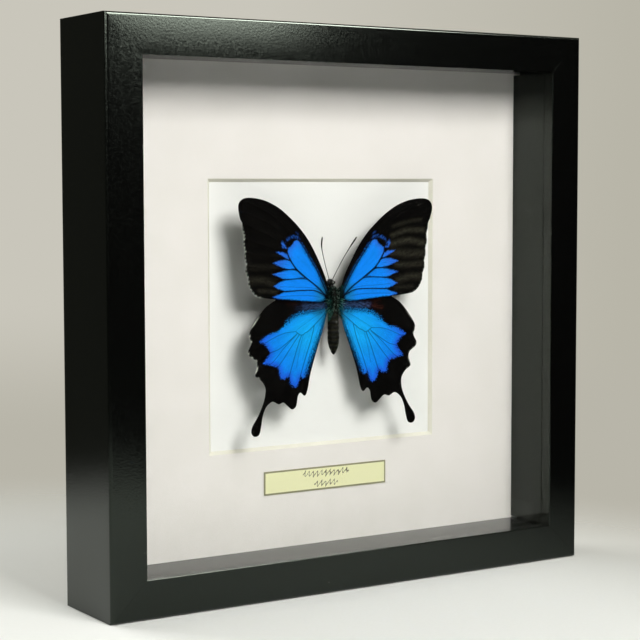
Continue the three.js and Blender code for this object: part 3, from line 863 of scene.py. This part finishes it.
def butterflyScales(name, azure, bright, violet, fray, veinStrength):
    # overlapping dust-fine scales: velvet black that swallows light, and structural blue with a
    # fine grain that runs out along the veins
    scales = {"black": "#020202", "warmBlack": "#060504", "navy": "#08143c", "teal": "#1c7286",
              "olive": "#35332a", "rust": "#3d1c16", "haze": "#38507e", "fleck": "#dcdcd2",
              "under": "#2e271f", "crease": "#0c3c8c"}
    material, add, shader = startMaterial(name, {"Roughness": 0.7, "Specular IOR Level": 0.008})
    parts = {key: add("Attribute", {"attribute_name": key}).outputs["Fac"] for key in (
        "blue", "scraps", "tip", "vein", "fold", "hair", "rust", "haze", "base", "middle",
        "fleck", "under")}
    fan = add("Attribute", {"attribute_name": "fan"}).outputs["Vector"]
    for key, stretch in (
            ("dust", (4.5, 4.5, 1)), ("fibre", (0.7, 3.2, 1)), ("broad", (0.12, 0.4, 1)),
            ("ragged", (1.1, 2.4, 1)), ("patchy", (0.5, 0.9, 1))):
        mapped = add("Mapping", {"Scale": stretch}, {"Vector": fan})
        parts[key] = add("TexNoise", {"Scale": 1, "Detail": 3}, {"Vector": mapped})
    # each grain drawn out to what it does: the part, its grain, the grain's range and the part's
    for key, grain, low, high, least, most in (
            ("strands", "fibre", 0.3, 0.66, 0.45, 1.05), ("tufts", "patchy", 0.3, 0.6, 0.3, 0.9),
            ("mottle", "patchy", 0.38, 0.62, 0.05, 1), ("torn", "patchy", 0.44, 0.56, 0.1, 1),
            ("dusting", "dust", 0.3, 0.7, 0.86, 1.1), ("bands", "broad", 0.3, 0.7, 0.9, 1.06),
            ("lines", "fibre", 0.3, 0.7, 0.84, 1.12), ("greening", "ragged", 0, 1, 0, 1.2),
            ("frayed", "ragged", 0.25, 0.75, -fray, fray)):
        parts[key] = add("MapRange", {
            "From Min": low, "From Max": high, "To Min": least, "To Max": most},
            {"Value": parts[grain]})
    for key, operation, first, second in (
            ("locks", "MULTIPLY", "tufts", "strands"), ("hairPatchWithSheen", "MULTIPLY", "hair", "locks"),
            ("rusty", "MULTIPLY", "rust", "mottle"), ("hazy", "MULTIPLY", "haze", "mottle"),
            ("tealed", "MULTIPLY", "base", "greening"), ("some", "MULTIPLY", "dusting", "bands"),
            ("shading", "MULTIPLY", "some", "lines"), ("scrap", "MULTIPLY", "scraps", "torn"),
            ("edge", "ADD", "blue", "frayed")):
        parts[key] = add("Math", {"operation": operation}, {0: parts[first], 1: parts[second]})
    for key, source, low, high, least, most in (
            ("dark", "vein", 0.5, 1.6, veinStrength, 0), ("crease", "fold", 0.6, 2.4, 0.5, 0),
            ("isBlue", "edge", -0.9, 1.3, 0, 1)):
        parts[key] = add("MapRange", {
            "interpolation_type": "SMOOTHSTEP", "From Min": low, "From Max": high,
            "To Min": least, "To Max": most}, {"Value": parts[source]})

    # the black ground, with olive hair patches that are partly painted sheen, and rusty and hazy
    # streaks
    ground = add("Mix", {"data_type": "RGBA", 6: scales["black"], 7: scales["warmBlack"]},
                 {0: parts["dust"]})
    for key, colour in (("hairPatchWithSheen", scales["olive"]), ("rusty", scales["rust"]),
                        ("hazy", scales["haze"]), ("scrap", violet)):
        ground = add("Mix", {"data_type": "RGBA", 7: colour}, {0: parts[key], 6: ground})
    # the blue, brighter in the middle of the hind wing, violet at the outer points and teal at
    # the base, with dark veins and folds over it
    blue = add("Mix", {"data_type": "RGBA", 6: azure, 7: bright}, {0: parts["middle"]})
    for key, colour in (("tip", violet), ("tealed", scales["teal"])):
        blue = add("Mix", {"data_type": "RGBA", 7: colour}, {0: parts[key], 6: blue})
    blue = add("VectorMath", {"operation": "SCALE"}, {0: blue, "Scale": parts["shading"]})
    for key, colour in (("dark", scales["navy"]), ("crease", scales["crease"])):
        blue = add("Mix", {"data_type": "RGBA", 7: colour}, {0: parts[key], 6: blue})
    # pale fringe scales over both, and a plain dusty brown underside
    surface = add("Mix", {"data_type": "RGBA"}, {0: parts["isBlue"], 6: ground, 7: blue})
    for key in ("fleck", "under"):
        surface = add("Mix", {"data_type": "RGBA", 7: scales[key]}, {0: parts[key], 6: surface})
    bump = add("Bump", {"Strength": 0.3, "Distance": 0.05 * mm}, {"Height": parts["fibre"]})
    connect(shader, {"Base Color": surface, "Normal": bump})
    return material


foreScales = butterflyScales("foreWingScales", "#1180f6", "#15a2f2", "#2b6adc", 1.4, 0.92)
hindScales = butterflyScales("hindWingScales", "#1181ee", "#16a8f5", "#1f5fdf", 3.2, 0.62)
for side in (-1, 1):
    addWing("forewing", side, foreScales)
    addWing("hindwing", side, hindScales)
print("wings made")


# the body. Places are in millimetres from the middle of the wing bases, y backwards

def mattedHair(name, tones):
    # fine matted hair, each hair its own tone: mostly dark, a few with pale tips that are painted
    # glints, as the hair's own gloss is nearly off
    material, add, shader = startMaterial(name, {"Roughness": 0.7, "Specular IOR Level": 0.02})
    shade = add("Attribute", {"attribute_name": "shade"}).outputs["Fac"]
    ramp = add("ValToRGB", links={0: shade})
    stops = ramp.color_ramp.elements
    for place, hexColour in zip((0, 0.45, 0.78, 1), tones):
        stop = stops[0] if place == 0 else stops[-1] if place == 1 else stops.new(place)
        stop.color = toLinear(hexColour)
    connect(shader, {"Base Color": ramp})
    return material


def hornySkin():
    # hard, dark insect skin with a dull gloss and a fine pitted grain
    material, add, shader = startMaterial("hornySkin", {
        "Roughness": 0.5, "Specular IOR Level": 0.07})
    place = add("TexCoord").outputs["Object"]
    pits = add("TexNoise", {"Scale": 2600, "Detail": 3}, {"Vector": place})
    colour = add("Mix", {"data_type": "RGBA", 6: "#040403", 7: "#100f0a"}, {0: pits})
    bump = add("Bump", {"Strength": 0.5, "Distance": 0.05 * mm}, {"Height": pits})
    connect(shader, {"Base Color": colour, "Normal": bump})
    return material


def ringedSkin():
    # the abdomen's skin: nearly black, each ring ending in a worn olive rim
    material, add, shader = startMaterial("ringedSkin", {
        "Roughness": 0.5, "Specular IOR Level": 0.04})
    place = add("TexCoord").outputs["Object"]
    rim = add("Attribute", {"attribute_name": "rim"}).outputs["Fac"]
    pits = add("TexNoise", {"Scale": 1800, "Detail": 4}, {"Vector": place})
    worn = add("MapRange", {"From Min": 0.4, "From Max": 0.66}, {"Value": pits})
    olive = add("Math", {"operation": "MULTIPLY"}, {0: rim, 1: worn})
    skin = add("Mix", {"data_type": "RGBA", 6: "#030402", 7: "#0b0c07"}, {0: pits})
    colour = add("Mix", {"data_type": "RGBA", 7: "#4a4634"}, {0: olive, 6: skin})
    bump = add("Bump", {"Strength": 0.5, "Distance": 0.06 * mm}, {"Height": pits})
    connect(shader, {"Base Color": colour, "Normal": bump})
    return material


def compoundEye():
    # dark eye with a wet gloss, broken by tiny facets
    material, add, shader = startMaterial("compoundEye", {"Roughness": 0.1})
    place = add("TexCoord").outputs["Object"]
    cells = add("TexVoronoi", {"Scale": 9000}, {"Vector": place})
    colour = add("Mix", {"data_type": "RGBA", 6: "#070504", 7: "#120e0a"}, {0: cells})
    bump = add("Bump", {"Strength": 0.4, "Distance": 0.02 * mm}, {"Height": cells})
    connect(shader, {"Base Color": colour, "Normal": bump})
    return material


# the palest tone of each ramp is a painted glint
bodyHair = mattedHair("bodyHair", ("#060907", "#101814", "#2c4238", "#8fab9e"))
tealHair = mattedHair("tealHair", ("#040d0b", "#0a2c28", "#1d6e64", "#92cdb9"))
skinFinish, eyeFinish = hornySkin(), compoundEye()
origin = np.array([specimen["x"], frontY + specimen["depth"], specimen["z"]])

trunk = {
    "thorax": {"centre": [0, 0, 3.3], "radii": [2.7, 2.4, 5.7]},
    "neck": {"centre": [-0.3, 0.6, 9.2], "radii": [1.2, 1.2, 1.2]},
    "head": {"centre": [-0.6, 1, 11], "radii": [1.55, 1.4, 1.5]},
    "eye": {"aside": 1.25, "up": 0.2, "forward": 0.6, "radius": 1},
    "abdomenFrom": [0.6, 0.4, 1], "abdomenTo": [1.1, 0.8, -21.7],
    "rings": 10, "abdomenRadii": [2.3, 2.4, 2.45, 2.5, 2.5, 2.55, 2.6, 2.6, 2.3, 1.5, 0.25],
    "feelerLeft": [[-1, 0.6, 11.5], [-2.6, 0.1, 15.6], [-4.8, -0.8, 21], [-6.7, -1.5, 27.4],
                   [-6.7, -2, 32]],
    "feelerRight": [[-0.2, 0.6, 11.5], [1.8, 0.1, 15.4], [5.3, -0.8, 22], [9.2, -1.6, 28],
                    [11.8, -2, 31.6]],
    "legHeights": [6.6, 3.6, 0.6],
    "legBends": [[0.8, 1.4, 0], [2.6, 3.4, -0.4], [3.8, 4.4, -2], [2.4, 5, -4.4]],
}


def addBall(name, centre, radii, rings=20):
    bpy.ops.mesh.primitive_uv_sphere_add(segments=2 * rings, ring_count=rings, radius=1,
                                         location=(origin + centre) * mm,
                                         scale=np.array(radii) * mm)
    ball = bpy.context.object
    ball.name = name
    settle(ball)
    bpy.ops.object.shade_smooth()
    return ball


def addAbdomen():
    # a profile of overlapping rings, spun round the body's axis
    start, end = (np.array(trunk[key]) for key in ("abdomenFrom", "abdomenTo"))
    length = np.linalg.norm(end - start)
    rings, radii, perRing = trunk["rings"], trunk["abdomenRadii"], 8
    profile = [(0, 0)]
    for step in range(rings * perRing):
        ring, share = divmod(step, perRing)
        share /= perRing
        radius = radii[ring] + (radii[ring + 1] - radii[ring]) * share
        tuck = 0.36 * math.exp(-(share / 0.16) ** 2) - 0.05 * math.sin(math.pi * share)
        profile.append((max(radius - tuck, 0.1), length * (ring + share) / rings))
    profile.append((0, length))
    line = [(k, k + 1) for k in range(len(profile) - 1)]
    piece = addShape("abdomen", [(r, 0, -d) for r, d in profile], [], line)
    pick(piece, "EDGE", lambda ends: True)
    bpy.ops.mesh.spin(steps=40, angle=2 * math.pi, center=(0, 0, 0), axis=(0, 0, 1))
    closeUp(piece)
    down = Vector(end - start).normalized()
    turn = Vector((0, 0, -1)).rotation_difference(down).to_matrix().to_4x4()
    piece.data.transform(Matrix.Translation(Vector(origin + start) * mm) @ turn)
    # how near each place is to the pale hind rim of its ring
    along = np.array([(np.array(v.co) / mm - origin - start) @ np.array(down)
                      for v in piece.data.vertices]) / length * rings
    rim = np.exp(-((0.9 - along % 1) / 0.13) ** 2)
    addMark(piece, "rim", rim)
    activate(piece)
    bpy.ops.object.shade_smooth()
    return piece


def addTube(name, points, radii, rings=40):
    # a round tube through a few points, its thickness following a list of radii
    line = bpy.data.curves.new(name, "CURVE")
    line.dimensions = "3D"
    line.bevel_depth = 1
    line.bevel_resolution = 3
    line.use_fill_caps = True
    path = smoothLine(points, rings)
    thick = np.interp(np.linspace(0, 1, rings + 1), np.linspace(0, 1, len(radii)), radii)
    run = line.splines.new("POLY")
    run.points.add(rings)
    for point, place, radius in zip(run.points, path, thick):
        point.co = (*((origin + place) * mm), 1)
        point.radius = radius * mm
    tube = bpy.data.objects.new(name, line)
    bpy.context.scene.collection.objects.link(tube)
    activate(tube)
    bpy.ops.object.convert(target="MESH")
    tube = bpy.context.object
    bpy.ops.object.shade_smooth()
    return tube


hairs = {
    # how long and wide, in millimetres, how much tones scatter, and how pale they are in all
    "thorax": {"count": 5200, "length": (1, 2), "width": 0.055, "scatter": 0.16, "tone": 1.35},
    "head": {"count": 900, "length": (0.5, 1.1), "width": 0.045, "scatter": 0.16, "tone": 0.5},
    "abdomen": {"count": 1500, "length": (0.3, 0.7), "width": 0.035, "scatter": 0.12, "tone": 0.5},
    "wingBase": {"count": 260, "length": (1.6, 5), "width": 0.05, "scatter": 0.25, "tone": 1},
    "sunk": 0.1, "droop": (0, 0.12, -0.18),
}


def addHairs(part, places, sunk, ways, finish, toneThere=1):
    # one mesh of fine, slightly bent spikes
    hair, count = hairs[part], len(places)
    lengths = chance.uniform(*hair["length"], count)[:, None]
    tones = clumped(places, hair["scatter"]) * hair["tone"] * toneThere
    ways = ways / np.linalg.norm(ways, axis=1)[:, None]
    aside = np.cross(ways, [0.3, 1, 0.2])
    aside /= np.linalg.norm(aside, axis=1)[:, None]
    across = np.cross(ways, aside)
    roots, droop = places - sunk, np.array(hairs["droop"])
    corners = []
    for share, thick in ((0, 1), (0.55, 0.75)):
        bent = ways * share + droop * share ** 2
        for k in range(3):
            turn = 2 * math.pi * k / 3
            ring = (aside * math.cos(turn) + across * math.sin(turn)) * hair["width"] * thick
            corners.append(roots + bent * lengths + ring)
    corners.append(roots + (ways + droop) * lengths)
    corners = np.stack(corners, 1).reshape(-1, 3) + origin
    faces = []
    for first in range(0, 7 * count, 7):
        for k in range(3):
            j = (k + 1) % 3
            faces.append((first + k, first + j, first + 3 + j, first + 3 + k))
            faces.append((first + 3 + k, first + 3 + j, first + 6))
        faces.append((first + 2, first + 1, first))
    piece = addShape(part + "Hair", corners, faces)
    # the paler tips are painted glints
    paler = np.tile([0.4, 0.4, 0.4, 1, 1, 1, 1.3], count)  # dark at the root, paler to the tip
    addMark(piece, "shade", np.repeat(tones, 7) * paler)
    activate(piece)
    bpy.ops.object.shade_smooth()
    dress(piece, finish, "body_fur")


def clumped(places, scatter):
    # a tone for each hair that changes slowly from place to place, so that hairs lie in locks
    x, y, z = places.T
    wave = np.sin(3.1 * x + 1.3 * z) * np.sin(2.3 * z - 1.7 * x + 2 * y)
    wave += 0.5 * np.sin(5.3 * x + 4.1 * y)
    return np.clip(0.33 + 0.26 * wave + chance.normal(0, scatter, len(places)), 0, 1)


def onBall(part, ball, reach=None):
    # random places on a part's ellipsoid and the directions straight out of it
    out = chance.normal(size=(hairs[part]["count"], 3))
    out /= np.linalg.norm(out, axis=1)[:, None]
    if reach is not None:
        out = out[reach(out)]
    place = np.array(ball["centre"]) + out * np.array(ball["radii"])
    normal = out / np.array(ball["radii"])
    return place, normal / np.linalg.norm(normal, axis=1)[:, None]


core = [addBall(name, trunk[part]["centre"], trunk[part]["radii"], rings)
        for name, part, rings in (("torso", "thorax", 24), ("neck", "neck", 12),
                                  ("head", "head", 16))]
for side in (-1, 1):
    for height in trunk["legHeights"]:
        bends = [[side * x, y, height + z] for x, y, z in trunk["legBends"]]
        core.append(addTube("leg", bends, [0.3, 0.26, 0.18, 0.12]))
torso = joinPieces("thoraxAndLegs", core)
dress(torso, skinFinish, "body_fur", "body")
dress(addAbdomen(), ringedSkin(), "body_fur")

x, y, z = trunk["head"]["centre"]
eye = trunk["eye"]
eyes = [addBall("eye", [x + side * eye["aside"], y - eye["forward"], z + eye["up"]],
                [eye["radius"]] * 3) for side in (-1, 1)]
dress(joinPieces("eyes", eyes), eyeFinish, "body_fur")

feelerThick = [0.2, 0.15, 0.14, 0.14, 0.14, 0.15, 0.16, 0.2, 0.33, 0.36, 0.2]
feelers = [addTube("feeler", trunk[key], feelerThick, 90) for key in ("feelerLeft", "feelerRight")]
dress(joinPieces("feelers", feelers), skinFinish, "body_fur")

# hairs flow outwards and down over the thorax, and up over its front end
place, normal = onBall("thorax", trunk["thorax"])
flow = np.stack([np.sign(place[:, 0]) * 0.35, np.full(len(place), 0.05),
                 np.where(place[:, 2] > 6, 0.2, -0.75)], 1)
ways = 0.55 * normal + 0.85 * flow + chance.normal(0, 0.22, place.shape)
addHairs("thorax", place, hairs["sunk"] * normal, ways, bodyHair)

place, normal = onBall("head", trunk["head"], lambda out: np.abs(out[:, 0]) < 0.75)
ways = 0.7 * normal + [0, -0.1, 0.5] + chance.normal(0, 0.25, place.shape)
addHairs("head", place, hairs["sunk"] * normal, ways, bodyHair)

start, end = np.array(trunk["abdomenFrom"]), np.array(trunk["abdomenTo"])
count = hairs["abdomen"]["count"]
share = chance.uniform(0.06, 0.95, count)
around = chance.uniform(0, 2 * math.pi, count)
thick = np.interp(share * trunk["rings"], range(trunk["rings"] + 1), trunk["abdomenRadii"])
normal = np.stack([np.cos(around), np.sin(around), np.zeros(count)], 1)
place = start + share[:, None] * (end - start) + normal * (thick * 0.95)[:, None]
ways = 0.3 * normal + [0, 0, -1] + chance.normal(0, 0.15, place.shape)
addHairs("abdomen", place, 0, ways, bodyHair)

# longer hairs that fan from the thorax over the wing bases, so many on each side
count = hairs["wingBase"]["count"]
tufts = []
for side in (-1, 1):
    height = chance.uniform(-3.5, 8.5, count)
    root = np.stack([side * chance.uniform(1.2, 2.4, count), chance.uniform(-2.7, -2.2, count),
                     height], 1)
    way = np.stack([side * chance.uniform(0.7, 1, count), chance.uniform(-0.06, 0.08, count),
                    (height - 2.8) * 0.16 + chance.normal(0, 0.14, count)], 1)
    tufts.append((root, way))
root, way = (np.vstack([t[k] for t in tufts]) for k in (0, 1))
addHairs("wingBase", root, 0, way, tealHair, np.where(root[:, 2] > 4, 0.7, 1.3))
print("body made")

# the pin, its end inside the card narrowed towards the point
pin = {"narrowing": 0.27, "soft": 0.04}
low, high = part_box("pin")
bpy.ops.mesh.primitive_cylinder_add(vertices=24, radius=(high.x - low.x) / 2,
                                    depth=high.y - low.y, location=(low + high) / 2,
                                    rotation=(math.pi / 2, 0, 0))
needle = bpy.context.object
needle.name = "specimenPin"
settle(needle)
pick(needle, "FACE", lambda middle, normal: normal.y > 0.9)
bpy.ops.mesh.inset(thickness=pin["narrowing"] * mm)
leaveEdit()
softenEdges(needle, pin["soft"])
dress(needle, pinMetal, "pin_steel", "pin")


# floor, light and camera

stage = {
    # place, aim, size and watts of each softbox, and whether it only puts a sheen on glossy edges
    "lamps": {
        "key": ((0.025, -0.635, 0.55), (0, 0, 0.12), (0.36, 0.32), 6.1, False),
        "back": ((-0.35, 0.6, 0.85), (-0.2, 0.16, 0), (0.5, 0.5), 6.2, False),
        "over": ((0.3, -0.45, 0.85), (0.1, -0.02, 0.25), (0.5, 0.35), 20, True),
        "right": ((0.33, -0.74, 0.45), (0.33, 0, 0.45), (0.17, 0.24), 1.75, True),
        "left": ((-0.9, -0.4, 0.5), (-0.12, 0, 0.24), (1.1, 0.3), 18, True),
    },
    "lampColour": "#fffdf8", "skyColour": "#f4f8e0",
    "skyDark": 0.012, "skyBehind": 0.06, "skyCeiling": 0.28,
    # the wall's colours, paler on the left and darker to the right and low down as painted light
    # and shade, and the ways along which it changes from one to the next, and how far
    "wallLeft": "#c9c6bb", "wallRight": "#b8b5a8", "wallLow": "#b8b5a9",
    "wallAcross": (0.84, -0.543, 0), "acrossFade": (-0.03, 0.17), "lowFade": (-0.06, -0.14),
    "skyBackwards": (-0.54, 0.84, 0),
    "floorDark": "#e3e5e5", "floorPale": "#e8eaea", "floorMiddle": (-0.2, -0.08),
    "floorRadius": 0.6, "floorFade": (0.25, 0.49),
    "cameraPlace": (-0.43963, -0.66626, 0.17983), "cameraTurn": (85.656, 0.104, -32.883),
    "lens": 99.25,
}


def addFloor():
    # seamless paper: matt, and fading out into the wall's colour
    bpy.ops.mesh.primitive_circle_add(
        vertices=96, radius=stage["floorRadius"], fill_type="NGON",
        location=(*stage["floorMiddle"], -0.0002))
    floor = bpy.context.object
    floor.name = "paperFloor"
    settle(floor)
    material, add, shader = startMaterial("seamlessPaper", {"Roughness": 0.9})
    place = add("TexCoord").outputs["Object"]
    grain = add("TexNoise", {"Scale": 700, "Detail": 3}, {"Vector": place})
    colour = add("Mix", {"data_type": "RGBA", 6: stage["floorDark"], 7: stage["floorPale"]},
                 {0: grain})
    connect(shader, {"Base Color": colour})
    gap = add("VectorMath", {"operation": "DISTANCE", 1: (*stage["floorMiddle"], 0)}, {0: place})
    near, far = stage["floorFade"]
    fade = add("MapRange", {
        "interpolation_type": "SMOOTHSTEP", "From Min": near, "From Max": far}, {"Value": gap})
    clear = add("BsdfTransparent")
    showInstead(material, add("MixShader", links={0: fade, 1: shader, 2: clear}))
    floor.data.materials.append(material)


def addWorld():
    world = bpy.data.worlds.new("studio")
    bpy.context.scene.world = world
    world.use_nodes = True
    world.node_tree.nodes.clear()
    add = partial(addNode, world.node_tree)
    way = add("TexCoord").outputs["Generated"]
    up = add("SeparateXYZ", links={0: way}).outputs["Z"]
    # what the camera sees: a wall that takes no lamp light, with its light and shade painted in,
    # paler on the left and darker to the right and low down
    aside = add("VectorMath", {"operation": "DOT_PRODUCT", 1: stage["wallAcross"]}, {0: way})
    start, end = stage["acrossFade"]
    across = add("MapRange", {"From Min": start, "From Max": end}, {"Value": aside})
    wall = add("Mix", {"data_type": "RGBA", 6: stage["wallLeft"], 7: stage["wallRight"]},
               {0: across})
    start, end = stage["lowFade"]
    lower = add("MapRange", {
        "interpolation_type": "SMOOTHSTEP", "From Min": start, "From Max": end}, {"Value": up})
    wall = add("Mix", {"data_type": "RGBA", 7: stage["wallLow"]}, {0: lower, 6: wall})
    seen = add("Background", {"Strength": 1}, {0: wall})
    # what lights the scene: a dark room, dimly lit behind the object, with a pale ceiling
    behind = add("VectorMath", {"operation": "DOT_PRODUCT", 1: stage["skyBackwards"]}, {0: way})
    dim = add("MapRange", {
        "interpolation_type": "SMOOTHSTEP", "From Min": 0.3, "From Max": 0.95,
        "To Min": stage["skyDark"], "To Max": stage["skyBehind"]}, {"Value": behind})
    rise = add("MapRange", {
        "interpolation_type": "SMOOTHSTEP", "From Min": 0.15, "From Max": 0.8,
        "To Max": stage["skyCeiling"]}, {"Value": up, "To Min": dim})
    room = add("Background", {0: stage["skyColour"]}, {"Strength": rise})
    isSeen = add("LightPath").outputs["Is Camera Ray"]
    add("OutputWorld", links={0: add("MixShader", links={0: isSeen, 1: room, 2: seen})})


def addSoftbox(name, place, aim, size, watts, sheenOnly):
    bpy.ops.object.light_add(type="AREA", location=place)
    lamp = bpy.context.object
    lamp.name = name
    lamp.data.shape = "RECTANGLE"
    lamp.data.size, lamp.data.size_y = size
    lamp.data.energy = watts
    lamp.data.color = toLinear(stage["lampColour"])[:3]
    lamp.visible_diffuse = not sheenOnly
    lamp.rotation_euler = (Vector(aim) - Vector(place)).to_track_quat("-Z", "Y").to_euler()


def addCamera():
    turn = [math.radians(a) for a in stage["cameraTurn"]]
    bpy.ops.object.camera_add(location=stage["cameraPlace"], rotation=turn)
    camera = bpy.context.object
    camera.data.lens = stage["lens"]
    camera.data.sensor_width = 36
    camera.data.clip_start = 0.01
    bpy.context.scene.camera = camera


addFloor()
addWorld()
for name, settings in stage["lamps"].items():
    addSoftbox(name + "Softbox", *settings)
addCamera()
bpy.context.scene.view_settings.view_transform = "Standard"
print("floor, light and camera set")
